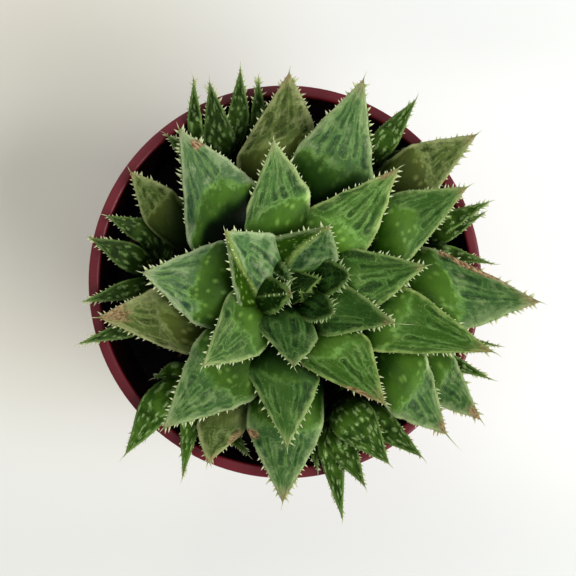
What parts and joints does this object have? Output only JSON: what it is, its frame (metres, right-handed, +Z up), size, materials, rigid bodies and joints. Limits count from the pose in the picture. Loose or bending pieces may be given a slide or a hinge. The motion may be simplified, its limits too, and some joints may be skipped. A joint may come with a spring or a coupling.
{
  "type": "potted haworthia",
  "caption": "Small succulent with a rosette of thick pointed leaves, flat windowed leaf ends and toothed edges, ringed by offsets, in a round plastic nursery pot of dark soil",
  "frame": {"origin": "the middle of the pot's flat underside, on the pot's axis", "axes": "+Z is up, along the pot's axis. Seen from above with +Y at the top and +X to the right, the plant is as in the picture"},
  "size_m": [0.1035, 0.1015, 0.1],
  "materials": {
    "leaf_deep": "satin",
    "leaf_bright": "satin",
    "leaf_olive": "satin",
    "offset": "satin",
    "stem": "matte",
    "soil": "matte",
    "pot": "satin"
  },
  "bodies": {
    "root": {"pot": "pot", "soil": "soil", "stem": "stem", "leaf_heart_west": "leaf_deep", "leaf_heart_east": "leaf_deep", "leaf_heart_south": "leaf_deep", "leaf_heart_northwest": "leaf_deep", "leaf_inner_north": "leaf_deep", "leaf_inner_west": "leaf_deep", "leaf_inner_south": "leaf_deep", "leaf_inner_east": "leaf_deep", "leaf_inner_northeast": "leaf_bright", "leaf_inner_southwest": "leaf_bright", "leaf_inner_southeast": "leaf_bright", "leaf_middle_northeast": "leaf_bright", "leaf_middle_north": "leaf_bright", "leaf_middle_west": "leaf_bright", "leaf_middle_east": "leaf_bright", "leaf_middle_south": "leaf_bright", "leaf_middle_eastnortheast": "leaf_bright", "leaf_middle_northwest": "leaf_bright", "leaf_middle_southwest": "leaf_deep", "leaf_middle_northnortheast": "leaf_bright", "leaf_middle_southeast": "leaf_bright", "leaf_outer_east": "leaf_deep", "leaf_outer_west": "leaf_olive", "leaf_outer_south": "leaf_deep", "leaf_outer_southeast": "leaf_deep", "leaf_outer_north": "leaf_olive", "leaf_outer_northeast": "leaf_olive", "leaf_outer_northwest": "leaf_olive", "leaf_outer_southwest": "leaf_olive", "offset_northwest": "offset", "offset_west": "offset", "offset_southwest": "offset", "offset_southeast": "offset", "offset_northeast": "offset", "offset_east": "offset", "offset_eastsoutheast": "offset"}
  },
  "joints": []
}
